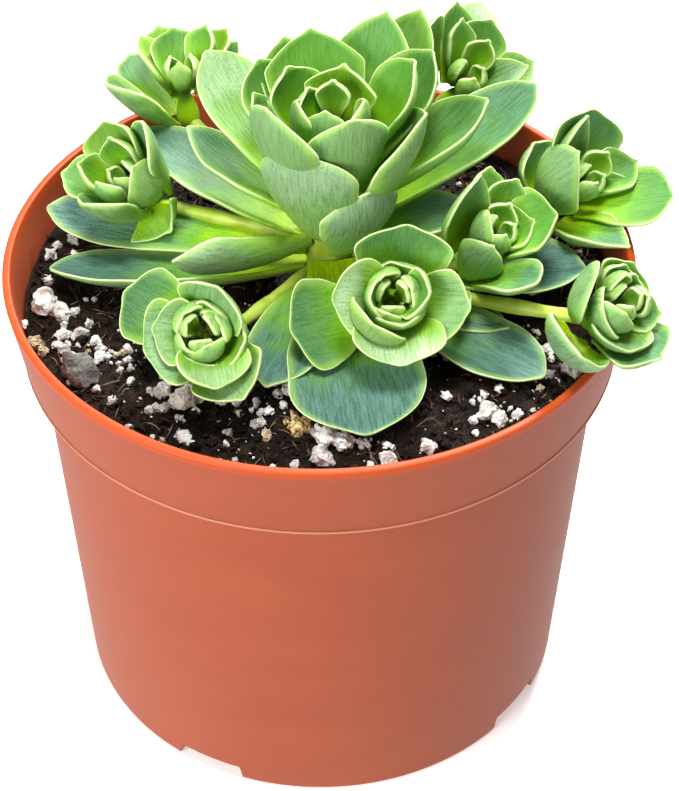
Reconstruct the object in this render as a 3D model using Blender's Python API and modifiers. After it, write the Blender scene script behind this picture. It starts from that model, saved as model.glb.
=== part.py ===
"""Potted aeonium: a crown of fleshy leaves on a short stem, with offset rosettes on runners, in a grower's pot.

Units are metres, +Z up. The origin is the middle of the pot's base, on the surface that it stands on.
"""
import math
from collections import namedtuple

import bmesh
import bpy
from mathutils import Matrix, Vector

MM = 0.001
GAP = 0.3  # mm between pieces that touch

# Pot, in mm
RIM_HEIGHT = 85.6
RIM_RADIUS = 52.0
LIP = 1.4
COLLAR_DROP = 15.0
COLLAR_RADIUS = 49.6
SHOULDER_RADIUS = 47.1
FOOT_RADIUS = 43.0
WALL = 1.5
FOOT_WIDTH = 3.5
FLOOR_UNDER = 3.5  # underside of the raised floor
FLOOR = 5.0  # its top
PAD_RADIUS = 20.0  # the middle of the floor is dished down to the ground
DRAIN_RADIUS = 4.0
DRAIN_CIRCLE = 31.0
DRAIN_TURNS = (18, 108, 198, 288)  # degrees
NOTCH_WIDTH = 14.2
NOTCH_TAPER = 0.82  # width at the top of a notch as a share of that at the ground
NOTCH_HEIGHT = 3.3
NOTCH_TURNS = (63, 144.5, 243, 324.5)  # degrees
TURN_STEPS = 48

# Soil and stem, in mm
SOIL_DROP = 6.0
STEM_RADIUS = 3.6
STEM_TOP_RADIUS = 2.4
STEM_TOP = 20.0
RUNNER_RADIUS = 1.2
CROWN_REACH = 3.8  # of the lowest leaf roots from the stem's axis, less the taper for each mm of height
CROWN_TAPER = 0.06
OFFSET_REACH = 3.2
OFFSET_TAPER = 0.2
CORE_MARGIN = 0.6  # the core stands out this far past the leaf roots
CORE_TOP = 1.5  # and this far above the highest of them, between the shut inner leaves

# Leaf form
LEAF_GRID = (8, 7)
SMALL_LEAF_GRID = (6, 6)
NECK = 0.38  # width at the root as a share of the widest
THICKNESS = 1.5

# Where the crown sits, from the pot's axis and the rim's plane, in mm
CROWN_PLACE = (1.7, 0.5, 0.0)

Leaf = namedtuple("Leaf", "turn rise length width cup curl height point roll widest", defaults=(0.1, 0, 0.76))
# turn about the rosette's axis and rise above its plane in degrees; length and width in mm; cup of the blade in
# degrees; inward curl of the midrib in mm; height of the root on the axis in mm; point of the tip from 0 blunt
# to 1 sharp; roll about the leaf's own length in degrees; widest as a share of the length.

# A leaf gives way to those above it in this list.
CROWN_LEAVES = {
    "leaf_mid_front_small": Leaf(302, 65, 17.5, 15, 35, 2, 3, 0.1),
    "leaf_mid_front": Leaf(250, 70, 22, 17, 30, 2, 6, 0),
    "leaf_top_front_right": Leaf(344, 62, 25, 18, 50, 2, 8, 0.6),
    "leaf_top_front": Leaf(292, 72, 20, 15, 45, 2, 13, 0.2),
    "leaf_top_front_left": Leaf(220, 68, 24.5, 17, 45, 2, 11, 0.5),
    "leaf_folded": Leaf(205, 8, 23.5, 10, 60, 2, 4, 0.3, 65),
    "leaf_top_back_inner": Leaf(72, 66, 11.5, 13, 45, 2, 21, 0.6),
    "leaf_top_left_inner": Leaf(134, 60, 13, 12, 45, 2, 20, 0.05),
    "leaf_top_right_inner": Leaf(21, 56, 20, 13, 60, 2, 17, 0.1),
    "leaf_top_right": Leaf(33, 48, 24, 14, 50, 2, 14, 0.1),
    "leaf_mid_right_upper": Leaf(18, 32, 27, 13, 65, 2, 10, 0.3),
    "leaf_mid_right": Leaf(29, 22, 37.5, 15, 30, 2, 6, 0.1, -5),
    "leaf_top_back": Leaf(101, 52, 21, 17, 30, 2, 16, 0.5),
    "leaf_top_back_right": Leaf(64, 48, 26.5, 14, 30, 2, 14, 0.5),
    "leaf_top_left": Leaf(133, 46, 19.5, 13, 30, 2, 15, 0.05),
    "leaf_mid_back_left": Leaf(137, 36, 29.5, 14, 35, 2, 9, 0.1),
    "leaf_mid_left": Leaf(150, 20, 24.5, 9, 35, 2, 7, 0.3),
    "leaf_mid_slim": Leaf(146, 50, 17.5, 7, 50, 2, 12, 0.1),
    "leaf_low_left": Leaf(164, -3, 45.5, 10.5, 25, 1, 1, 0.1, -25),
    "leaf_low_left_front": Leaf(182, 0, 41.5, 16, 35, 2.5, -2, 0.1, 20),
    "leaf_low_front_right": Leaf(323, -4, 38, 14, 25, 1, -2, 0.1),
    "leaf_low_right": Leaf(353, 1, 37.5, 16, 30, 1.5, 0, 0.1),
    "leaf_low_front": Leaf(278, -6, 37, 22, 25, 1, 1, 0),
    "leaf_low_front_left": Leaf(253, -2, 29, 13, 30, 1, 0, 0.3),
    "leaf_low_back_left": Leaf(146, 12, 33.5, 13, 30, 2, 3, 0.3),
    "leaf_top_back_left": Leaf(114, 46, 21.5, 12, 30, 2, 15, 0.3),
    "leaf_top_right_outer": Leaf(56, 40, 30, 12, 30, 2, 13, 0.3),
    "leaf_low_right_back": Leaf(9, 10, 19, 11, 20, 1, 4, 0.3),
    "leaf_withered": Leaf(333, -4, 28, 8, 20, 1, -1.8, 0.3),
}
HEART_LEAVES = [
    Leaf(135, 74, 7, 8, 60, 1, 23, 0.3),
    Leaf(193, 74, 8.5, 8, 60, 1, 22, 0.3),
    Leaf(346, 72, 9, 8, 60, 1, 22, 0.3),
    Leaf(260, 84, 8, 7, 60, 1, 22, 0.3),
    Leaf(80, 82, 7, 6, 60, 1, 24, 0.3),
]
Rosette = namedtuple("Rosette", "place turn lean leaves")
# place of the root from the pot's axis and the rim's plane in mm; turn and lean of the axis in degrees
ROSETTES = {
    "front": Rosette((11, -15.5, 1.5), 276, 40, [
        Leaf(81, 48, 12, 16.5, 40, 0, 2, 0.1, 10),
        Leaf(352, 45, 12.5, 12.5, 45, -0.5, 2.5, 0.3, 5),
        Leaf(199, 25, 14.5, 15, 25, 0.5, 1, 0, -5),
        Leaf(277, 49, 12.5, 15.5, 35, -1.5, 2.5, 0, -5, 0.7),
        Leaf(186, 52, 11, 14, 55, -2, 3, 0.2, -15, 0.7),
        Leaf(237, 72, 11.5, 12, 65, 2, 3, 0.1, -5),
        Leaf(98, 66, 6.5, 12.5, 65, 0, 4, 0.1, 5),
        Leaf(0, 72, 8.5, 9.5, 65, 0, 4.5, 0.1, -10),
        Leaf(288, 72, 8, 9, 60, 0, 4.5, 0.2, -5),
        Leaf(195, 78, 7.5, 7, 65, 0, 5, 0.2, -10),
        Leaf(120, 80, 6, 6, 60, 1, 5.5, 0.4),
        Leaf(250, 80, 6, 6, 60, 1, 5.5, 0.4),
        Leaf(20, 82, 5.5, 6, 60, 1, 6, 0.4),
    ]),
    "front_left": Rosette((-16.5, -22.5, 0.5), 255, 40, [
        Leaf(148, 28, 12.5, 13, 30, 0.5, 0, 0.1),
        Leaf(194, 47, 9, 15.5, 50, -1, 1.5, 0, 0, 0.7),
        Leaf(172, 52, 7.5, 12, 60, -1, 3, 0.2, -10, 0.7),
        Leaf(57, 68, 10.5, 13, 40, -0.5, 2, 0.05, -5),
        Leaf(285, 50, 10.5, 13, 55, -1, 2.5, 0.1, -20, 0.7),
        Leaf(299, 42, 12.5, 13.5, 45, -0.5, 0.5, 0.5, 0, 0.65),
        Leaf(80, 72, 5.5, 9.5, 70, 0, 4, 0.2, -5),
        Leaf(238, 71, 5.5, 9.5, 70, 0.5, 3.5, 0.2, -15),
        Leaf(344, 56, 7.5, 9, 55, 0, 2.5, 0.2, 10),
        Leaf(232, 78, 5, 7.5, 70, 0.5, 4.5, 0.2, -5),
        Leaf(25, 80, 4.5, 7, 70, 0.5, 5, 0.2, 10),
        Leaf(130, 80, 5, 6, 60, 1, 5.5, 0.4),
        Leaf(290, 82, 4.5, 6, 60, 1, 5.5, 0.4),
    ]),
    "left": Rosette((-28, 12, 2), 200, 38, [
        Leaf(86, 62, 11, 14, 45, 0, 3, 0.1, -20),
        Leaf(156, 43, 12, 9, 45, 0, 2, 0.1),
        Leaf(241, 66, 13, 12, 55, 1, 1, 0.4, -10),
        Leaf(288, -34, 5, 13.5, 60, 1, 1.5, 0.4, 20, 0.5),
        Leaf(12, 66, 15, 10, 55, 0, 0, 0.2, 10, 0.7),
        Leaf(325, 72, 9.5, 10, 55, 1, 2, 0.5, 0, 0.5),
        Leaf(67, 80, 9, 8, 55, 0, 4, 0.6),
        Leaf(171, 80, 10, 7.5, 55, 0.5, 4, 0.4),
        Leaf(230, 80, 7, 7, 60, 1, 4.5, 0.4),
    ]),
    "right": Rosette((25, -3.5, 1), 340, 30, [
        Leaf(163, 72, 16.5, 11, 35, 1, 0, 0.6, -30, 0.5),
        Leaf(85, 59, 11, 8, 50, 0.5, 3, 0.2),
        Leaf(14, 70, 12, 14.5, 50, 0, 3.5, 0.3, -10),
        Leaf(28, 70, 7.5, 10, 60, 0, 4, 0.6, -15),
        Leaf(85, 74, 6, 6, 60, 0.5, 5, 0.5, -10),
        Leaf(190, 82, 7, 7, 60, 0.5, 4, 0.2),
        Leaf(247, 76, 10, 9, 50, 0.5, 0, 0.4, 0, 0.55),
        Leaf(287, 55, 16.5, 9.5, 45, 0, -0.5, 0.1, 40),
        Leaf(111, 52, 12, 7, 40, 0, 2, 0.1),
        Leaf(255, 20, 13, 4, 50, 0, -2, 0.5, 20, 0.5),
    ]),
    "far_right": Rosette((39, 10.5, 2), 345, 42, [
        Leaf(117, 62, 14.5, 17.5, 35, 0, 1, 0),
        Leaf(142, 70, 15.5, 11, 45, 0.5, 0, 0.6, -5, 0.5),
        Leaf(205, 66, 16, 14, 55, 1.5, 0, 0.6, 0, 0.5),
        Leaf(13, 54, 12.5, 9.5, 60, 0, 1.5, 0.8, 5, 0.55),
        Leaf(42, 51, 11.5, 9, 60, 0, 3, 0.5, -10),
        Leaf(80, 75, 7, 6, 60, 0.5, 5, 0.3),
        Leaf(352, 58, 16, 15.5, 30, 0.5, 2.5, 0.1),
        Leaf(292, 48, 16.5, 11, 45, 0, -0.5, 0.7, 30, 0.5),
        Leaf(158, 37, 8.5, 12, 30, 1, 0, 0.1, -10),
    ]),
    "front_right": Rosette((43, -18.5, 2), 325, 42, [
        Leaf(238, 44, 17, 14, 60, 2, -2, 0.3, 10, 0.5),
        Leaf(180, 65, 11.5, 11, 30, 1, 0.5, 0.2, -10, 0.6),
        Leaf(79, 51, 7, 10, 45, 0, 2, 0.2),
        Leaf(96, 59, 6, 7, 55, 0, 3, 0.1),
        Leaf(82, 72, 5.5, 8, 65, 0, 4, 0.1, 5),
        Leaf(225, 62, 6.5, 9.5, 65, 0, 2.5, 0.1, -15),
        Leaf(250, 78, 6, 7, 60, 1, 4, 0.1),
        Leaf(130, 80, 5.5, 5.5, 60, 0.5, 5, 0.2),
        Leaf(3, 53, 7, 8, 50, 0, 2.5, 0.4),
        Leaf(283, 50, 8, 12, 45, -0.5, 1.5, 0, 5, 0.7),
        Leaf(314, 50, 11, 14, 40, 0.5, 0, 0.2, 5),
        Leaf(20, 80, 5, 5.5, 60, 1, 5, 0.4),
    ]),
    "back_right": Rosette((21.5, 29.5, 9), 330, 30, [
        Leaf(178, 60, 16, 14, 30, 1, 1, 0.05, -10),
        Leaf(15, 66, 13.5, 8, 55, -1, 0.5, 0.4, 0, 0.6),
        Leaf(35, 30, 13.5, 7.5, 40, 0, 1.5, 0.2),
        Leaf(81, 53, 11.5, 9.5, 50, 0, 3.5, 0.2),
        Leaf(116, 52, 10, 6, 55, 0, 4.5, 0.6),
        Leaf(76, 69, 8, 6, 60, 0.5, 5, 0.4, -5),
        Leaf(112, 44, 13.5, 8, 45, 0, 2.5, 0.6),
        Leaf(83, 20, 16, 8, 40, -1.5, 2, 0.2),
    ]),
    "back_left": Rosette((-22.5, 27.5, 8), 120, 12, [
        Leaf(136, 40, 13, 13.5, 40, 0, -0.5, 0.1, 5),
        Leaf(222, 45, 16.5, 10.5, 60, 0.5, 0, 0.3, -10),
        Leaf(100, 63, 10.5, 9.5, 50, 0, 3.5, 0.1, -5),
        Leaf(112, 47, 12.5, 10, 45, 0, 3, 0.3),
        Leaf(136, 49, 11, 5, 45, 0, 4, 0.2),
        Leaf(45, 63, 9.5, 7.5, 50, 0.5, 5.5, 0.3),
        Leaf(38, 45, 10.5, 8, 40, 0, 5, 0.1),
        Leaf(33, 42, 11, 10, 40, 0, 2.5, 0.2),
    ]),
}

# Runners: height where they leave the stem, from the rim's plane, and how far they sag on the way, in mm
RUNNERS = {
    "left": (3.0, 0.6),
    "front_left": (-0.5, 0.5),
    "front": (-1.5, 0.3),
    "right": (-2.5, 0.3),
    "far_right": (-1.0, 1.0),
    "front_right": (-3.5, 0.6),
    "back_left": (2.0, 0.6),
    "back_right": (4.0, 0.6),
}

COLOURS = {
    "terracotta_plastic": (0.60, 0.19, 0.10, 0.55),
    "potting_soil": (0.02, 0.013, 0.01, 0.9),
    "leaf_green": (0.22, 0.42, 0.06, 0.45),
    "stem_green": (0.42, 0.50, 0.05, 0.5),
}


def clear_scene():
    for item in list(bpy.data.objects):
        bpy.data.objects.remove(item, do_unlink=True)


def collection(name, hidden=False):
    made = bpy.data.collections.new(name)
    bpy.context.scene.collection.children.link(made)
    made.hide_render = hidden
    return made


def material(name):
    red, green, blue, roughness = COLOURS[name]
    made = bpy.data.materials.new(name)
    made.use_nodes = True
    shader = made.node_tree.nodes["Principled BSDF"]
    shader.inputs["Base Color"].default_value = (red, green, blue, 1)
    shader.inputs["Roughness"].default_value = roughness
    shader.inputs["Metallic"].default_value = 0
    return made


def add(name, mesh, home, finish=None):
    made = bpy.data.objects.new(name, mesh)
    home.objects.link(made)
    if finish:
        mesh.materials.clear()
        mesh.materials.append(finish)
        mesh.shade_smooth()
        mesh.set_sharp_from_angle(angle=math.radians(40))
    else:
        made.hide_render = True
        made.display_type = "WIRE"
    return made


def finished_mesh(item):
    """The mesh of an object with its modifiers applied."""
    bpy.context.view_layer.update()
    graph = bpy.context.evaluated_depsgraph_get()
    return bpy.data.meshes.new_from_object(item.evaluated_get(graph))


def turned_mesh(name, profile, steps=TURN_STEPS):
    """A solid of revolution about Z from (radius, height) pairs in mm, given outer side downwards."""
    mesh = bpy.data.meshes.new(name)
    form = bmesh.new()
    points = [form.verts.new((radius * MM, 0, height * MM)) for radius, height in profile]
    for first, second in zip(points, points[1:]):
        form.edges.new((first, second))
    form.to_mesh(mesh)
    form.free()
    item = bpy.data.objects.new(name, mesh)
    bpy.context.scene.collection.objects.link(item)
    screw = item.modifiers.new("Turn", "SCREW")
    screw.steps = steps
    screw.render_steps = steps
    screw.use_merge_vertices = True
    screw.merge_threshold = 0.0001
    turned = finished_mesh(item)
    turned.name = name
    bpy.data.objects.remove(item)
    return turned


def cone_mesh(name, radii, low, high, place=(0, 0), steps=20):
    """A round peg standing on Z, from the lower radius to the upper one."""
    mesh = bpy.data.meshes.new(name)
    form = bmesh.new()
    bmesh.ops.create_cone(form, cap_ends=True, segments=steps, radius1=radii[0] * MM, radius2=radii[1] * MM,
                          depth=(high - low) * MM)
    bmesh.ops.translate(form, verts=form.verts, vec=Vector((place[0], place[1], (low + high) / 2)) * MM)
    form.to_mesh(mesh)
    form.free()
    return mesh


def notch_mesh(name, turn):
    """A block that narrows upwards, through the foot at a turn about the pot's axis."""
    mesh = bpy.data.meshes.new(name)
    form = bmesh.new()
    bmesh.ops.create_cube(form, size=1)
    bmesh.ops.scale(form, verts=form.verts, vec=Vector((12, NOTCH_WIDTH, 2 * NOTCH_HEIGHT)) * MM)
    top = [vert for vert in form.verts if vert.co.z > 0]
    bmesh.ops.scale(form, verts=top, vec=(1, NOTCH_TAPER, 1))
    bmesh.ops.translate(form, verts=form.verts, vec=(FOOT_RADIUS * MM, 0, 0))
    bmesh.ops.rotate(form, verts=form.verts, cent=(0, 0, 0), matrix=Matrix.Rotation(turn, 3, "Z"))
    form.to_mesh(mesh)
    form.free()
    return mesh


def boolean(item, others, operation, solver="EXACT"):
    for other in others:
        made = item.modifiers.new(operation.title(), "BOOLEAN")
        made.object = other
        made.operation = operation
        made.solver = solver


def combine(item, others, operation):
    """Runs one Boolean after another on an object and keeps the result. Leaves meet at grazing angles, where
    the exact solver leaves slivers that differ from run to run."""
    boolean(item, others, operation, solver="MANIFOLD")
    result = finished_mesh(item)
    item.modifiers.clear()
    item.data = result
    return item


def grown_copy(mesh, distance):
    """A copy of a mesh with its skin moved outwards."""
    copy = mesh.copy()
    form = bmesh.new()
    form.from_mesh(copy)
    form.normal_update()
    for vert, step in [(vert, vert.normal * (distance * MM)) for vert in form.verts]:
        vert.co += step
    form.to_mesh(copy)
    form.free()
    return copy


def keep_largest_body(mesh):
    """Drops the crumbs that a cut leaves beside the main body."""
    form = bmesh.new()
    form.from_mesh(mesh)
    unseen = set(form.verts)
    bodies = []
    while unseen:
        edge = [unseen.pop()]
        body = list(edge)
        while edge:
            vert = edge.pop()
            fresh = {link.other_vert(vert) for link in vert.link_edges} & unseen
            unseen -= fresh
            body.extend(fresh)
            edge.extend(fresh)
        bodies.append(body)
    bodies.sort(key=len, reverse=True)
    for body in bodies[1:]:
        bmesh.ops.delete(form, geom=body, context="VERTS")
    form.to_mesh(mesh)
    form.free()


def pot_mesh():
    inner_rim = RIM_RADIUS - LIP
    inner_collar = COLLAR_RADIUS - LIP
    inner_foot = FOOT_RADIUS - WALL
    shoulder = RIM_HEIGHT - COLLAR_DROP
    inside = [
        (0, WALL),
        (PAD_RADIUS - 1, WALL),
        (PAD_RADIUS + 1.5, FLOOR),
        (inner_foot - 1.3, FLOOR),
        (inner_foot + 0.2, FLOOR + 1.5),
        (SHOULDER_RADIUS - WALL, shoulder - 1.5),
        (inner_collar, shoulder + 1.2),
        (inner_rim, RIM_HEIGHT),
    ]
    outside = [
        (RIM_RADIUS - 0.3, RIM_HEIGHT),
        (RIM_RADIUS, RIM_HEIGHT - 0.4),
        (RIM_RADIUS - 0.25, RIM_HEIGHT - LIP),
        (COLLAR_RADIUS, shoulder + 0.75),
        (COLLAR_RADIUS + 0.2, shoulder + 0.4),
        (COLLAR_RADIUS + 0.1, shoulder),
        (SHOULDER_RADIUS, shoulder - 0.1),
        (FOOT_RADIUS, 0),
        (FOOT_RADIUS - FOOT_WIDTH, 0),
        (FOOT_RADIUS - FOOT_WIDTH - 0.3, FLOOR_UNDER),
        (PAD_RADIUS + 2, FLOOR_UNDER),
        (PAD_RADIUS, 0),
        (0, 0),
    ]
    return turned_mesh("pot", inside + outside)


def pot(home, tools, finish):
    item = add("pot", pot_mesh(), home, finish)
    cutters = []
    for index, degrees in enumerate(DRAIN_TURNS):
        turn = math.radians(degrees)
        place = (DRAIN_CIRCLE * math.cos(turn), DRAIN_CIRCLE * math.sin(turn))
        hole = cone_mesh("drain_cutter", (DRAIN_RADIUS, DRAIN_RADIUS), 0, FLOOR + 3, place)
        cutters.append(add(f"drain_cutter_{index + 1}", hole, tools))
    for index, degrees in enumerate(NOTCH_TURNS):
        notch = notch_mesh("notch_cutter", math.radians(degrees))
        cutters.append(add(f"notch_cutter_{index + 1}", notch, tools))
    boolean(item, cutters, "DIFFERENCE")
    return item


def soil(home, finish):
    """The root ball fills the pot from its floor to just under the rim."""
    shoulder = RIM_HEIGHT - COLLAR_DROP
    top = RIM_HEIGHT - SOIL_DROP
    slope = (RIM_RADIUS - COLLAR_RADIUS) / COLLAR_DROP
    edge = COLLAR_RADIUS - LIP + slope * (top - shoulder) - 2 * GAP
    profile = [
        (0, top + 0.4),
        (edge - 2, top),
        (edge, top - 1.2),
        (COLLAR_RADIUS - LIP - 2 * GAP, shoulder + 1.8),
        (SHOULDER_RADIUS - WALL - 2 * GAP, shoulder - 1.5),
        (FOOT_RADIUS - WALL - 1.3 * GAP, FLOOR + 2.5),
        (FOOT_RADIUS - WALL - 2, FLOOR + GAP),
        (PAD_RADIUS + 1, FLOOR + GAP),
        (PAD_RADIUS - 1.5, WALL + GAP),
        (0, WALL + GAP),
    ]
    return add("soil", turned_mesh("soil", profile), home, finish)


def stem(home, finish):
    """The crown's own short stem, tapering upwards from the soil."""
    foot = RIM_HEIGHT - SOIL_DROP + 0.4 + GAP
    top = RIM_HEIGHT + STEM_TOP
    profile = [(0, top), (STEM_TOP_RADIUS - 0.6, top), (STEM_TOP_RADIUS, top - 1), (STEM_RADIUS, foot + 3),
               (STEM_RADIUS + 0.5, foot), (0, foot)]
    mesh = turned_mesh("main_stem", profile, 12)
    mesh.transform(Matrix.Translation(Vector(CROWN_PLACE) * MM))
    return add("main_stem", mesh, home, finish)


def runner(name, start, end, sag, home, finish):
    """A round runner from the stem to the root of a rosette, with a light bow."""
    curve = bpy.data.curves.new(name, "CURVE")
    curve.dimensions = "3D"
    curve.bevel_depth = RUNNER_RADIUS * MM
    curve.bevel_resolution = 2
    curve.use_fill_caps = True
    spline = curve.splines.new("POLY")
    steps = 6
    spline.points.add(steps)
    for index in range(steps + 1):
        share = index / steps
        point = start.lerp(end, share)
        point.z -= sag * 4 * share * (1 - share)
        spline.points[index].co = (*((point + Vector((0, 0, RIM_HEIGHT))) * MM), 1)
    item = bpy.data.objects.new(name, curve)
    home.objects.link(item)
    mesh = finished_mesh(item)
    bpy.data.objects.remove(item)
    form = bmesh.new()
    form.from_mesh(mesh)
    bmesh.ops.remove_doubles(form, verts=form.verts, dist=0.00001)
    form.to_mesh(mesh)
    form.free()
    return add(name, mesh, home, finish)


def leaning(turn, lean):
    """Turns the vertical towards the given direction by the given lean, in degrees."""
    heading = math.radians(turn)
    axis = Vector((-math.sin(heading), math.cos(heading), 0))
    return Matrix.Rotation(math.radians(lean), 3, axis)


def blade_width(leaf, share):
    """Width of a leaf at a share of its length, as a share of its widest."""
    if share < leaf.widest:
        return NECK + (1 - NECK) * math.sin(math.pi / 2 * share / leaf.widest) ** 1.3
    end = min((share - leaf.widest) / (1 - leaf.widest), 1)
    return (1 - leaf.point) * math.sqrt(1 - end * end) + leaf.point * (1 - end) ** 0.9


def leaf_mesh(leaf, reach, lean, place, grid):
    """One leaf: a ball whose rings are laid along a curved midrib and pressed into a cupped blade."""
    climb = math.radians(leaf.rise)
    outward = Vector((math.cos(math.radians(leaf.turn)), math.sin(math.radians(leaf.turn)), 0))
    along = outward * math.cos(climb) + Vector((0, 0, math.sin(climb)))
    face = Vector((0, 0, math.cos(climb))) - outward * math.sin(climb)
    root = outward * reach + Vector((0, 0, leaf.height))
    form = bmesh.new()
    bmesh.ops.create_uvsphere(form, u_segments=grid[0], v_segments=grid[1], radius=1)
    for vert in form.verts:
        share = (1 - vert.co.z) / 2
        ring = math.hypot(vert.co.x, vert.co.y)
        across = vert.co.x / ring if ring > 0.001 else 0.0
        through = vert.co.y / ring if ring > 0.001 else 0.0
        slope = (along * leaf.length - face * (leaf.curl * 4 * (1 - 2 * share))).normalized()
        up = Matrix.Rotation(math.radians(leaf.roll), 3, slope) @ (face - slope * face.dot(slope)).normalized()
        side = up.cross(slope)
        full = blade_width(leaf, share) if ring > 0.001 else 0.0
        bend = math.radians(leaf.cup) * (0.55 + 0.45 * math.sin(math.pi * (share * 0.9 + 0.1)))
        radius = 0.5 * leaf.width * full / bend
        middle = root + along * (leaf.length * share) - face * (leaf.curl * 4 * share * (1 - share))
        skin = side * (radius * math.sin(bend * across)) + up * (radius * (1 - math.cos(bend * across)))
        normal = up * math.cos(bend * across) - side * math.sin(bend * across)
        depth = THICKNESS * (0.35 + 0.65 * full) * through if through > 0 else 0.1 * through
        vert.co = middle + skin - normal * depth
    if form.calc_volume(signed=True) < 0:
        bmesh.ops.reverse_faces(form, faces=form.faces)
    bmesh.ops.transform(form, matrix=lean.to_4x4(), verts=form.verts)
    bmesh.ops.translate(form, verts=form.verts, vec=Vector(place) + Vector((0, 0, RIM_HEIGHT)))
    bmesh.ops.scale(form, verts=form.verts, vec=Vector((MM, MM, MM)))
    mesh = bpy.data.meshes.new("leaf")
    form.to_mesh(mesh)
    form.free()
    return mesh


def crown_leaf(leaf):
    reach = CROWN_REACH - CROWN_TAPER * leaf.height
    return leaf_mesh(leaf, reach, leaning(0, 0), CROWN_PLACE, LEAF_GRID)


def core_mesh(radii, low, high, lean, place):
    """The short stem inside a rosette that its leaves grow from."""
    mesh = cone_mesh("core", radii, low, high, steps=8)
    shift = Vector(place) + Vector((0, 0, RIM_HEIGHT))
    mesh.transform(Matrix.Translation(shift * MM) @ lean.to_4x4())
    return mesh


def offset_meshes(plan):
    """The core of an offset rosette, and its leaves."""
    lean = leaning(plan.turn, plan.lean)
    top = max(leaf.height for leaf in plan.leaves) + 1
    radii = (OFFSET_REACH + CORE_MARGIN, OFFSET_REACH - OFFSET_TAPER * top + CORE_MARGIN)
    meshes = [core_mesh(radii, -1, top + CORE_TOP, lean, plan.place)]
    for leaf in plan.leaves:
        reach = OFFSET_REACH - OFFSET_TAPER * leaf.height
        meshes.append(leaf_mesh(leaf, reach, lean, plan.place, SMALL_LEAF_GRID))
    return meshes


def heart_meshes():
    radii = (CROWN_REACH - CROWN_TAPER * STEM_TOP + CORE_MARGIN, 1.6)
    core = core_mesh(radii, STEM_TOP + GAP, STEM_TOP + 6, leaning(0, 0), CROWN_PLACE)
    return [core, *(crown_leaf(leaf) for leaf in HEART_LEAVES)]


def joined(name, meshes, home, finish):
    """One body made of the core of a rosette and the leaves that grow from it."""
    item = add(name, meshes[0].copy(), home, finish)
    helpers = [add("helper", mesh.copy(), home) for mesh in meshes[1:]]
    combine(item, helpers, "UNION")
    for helper in helpers:
        bpy.data.objects.remove(helper)
    return item


def box_of(item):
    low = Vector(min(vert.co[axis] for vert in item.data.vertices) for axis in range(3))
    high = Vector(max(vert.co[axis] for vert in item.data.vertices) for axis in range(3))
    return low, high


def near(one, other):
    """Whether the boxes of two objects come within a millimetre of each other."""
    (low, high), (low_other, high_other) = box_of(one), box_of(other)
    return all(low[axis] < high_other[axis] + MM and low_other[axis] < high[axis] + MM for axis in range(3))


class Bed:
    """Takes the pieces in order. Each gives way to those already laid, with a gap all round them."""

    def __init__(self, home):
        self.home = home
        self.claimed = []

    def lay(self, item, meshes=None):
        neighbours = [other for other in self.claimed if near(item, other)]
        own = meshes or [item.data.copy()]
        if neighbours:
            combine(item, neighbours, "DIFFERENCE")
            keep_largest_body(item.data)
        self.claim(own)

    def claim(self, meshes):
        for mesh in meshes:
            self.claimed.append(add("claimed", grown_copy(mesh, GAP), self.home))

    def clear(self):
        for item in self.claimed:
            bpy.data.objects.remove(item)


def main():
    clear_scene()
    tools = collection("cutters", hidden=True)
    home = collection("potted_aeonium")
    finishes = {name: material(name) for name in COLOURS}
    green, stem_green = finishes["leaf_green"], finishes["stem_green"]
    vessel = pot(home, tools, finishes["terracotta_plastic"])
    bed = Bed(home)
    bed.claim([vessel.data])
    bed.lay(soil(home, finishes["potting_soil"]))
    bed.lay(stem(home, stem_green))
    for name, (height, sag) in RUNNERS.items():
        plan = ROSETTES[name]
        start = Vector((*CROWN_PLACE[:2], height))
        end = Vector(plan.place) + leaning(plan.turn, plan.lean) @ Vector((0, 0, -0.5))
        bed.lay(runner(f"runner_{name}", start, end, sag, home, stem_green))
    for name, plan in ROSETTES.items():
        meshes = offset_meshes(plan)
        bed.lay(joined(f"offset_{name}", meshes, home, green), meshes)
    meshes = heart_meshes()
    bed.lay(joined("crown_heart", meshes, home, green), meshes)
    for name, leaf in CROWN_LEAVES.items():
        bed.lay(add(name, crown_leaf(leaf), home, green))
    bed.clear()
    bpy.context.view_layer.update()


main()
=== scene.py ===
# %% [markdown]
# # A potted aeonium
# This file dresses a plain model of a potted aeonium so that it looks like the living plant: a crown of
# fleshy leaves on a short stem, young rosettes on runners round it, dark gritty soil, and a moulded
# grower's pot. The plain model comes in first. It fixes every place and size, and each piece made here
# stands for one of its nodes, so nothing has to be fitted by eye.

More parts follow.
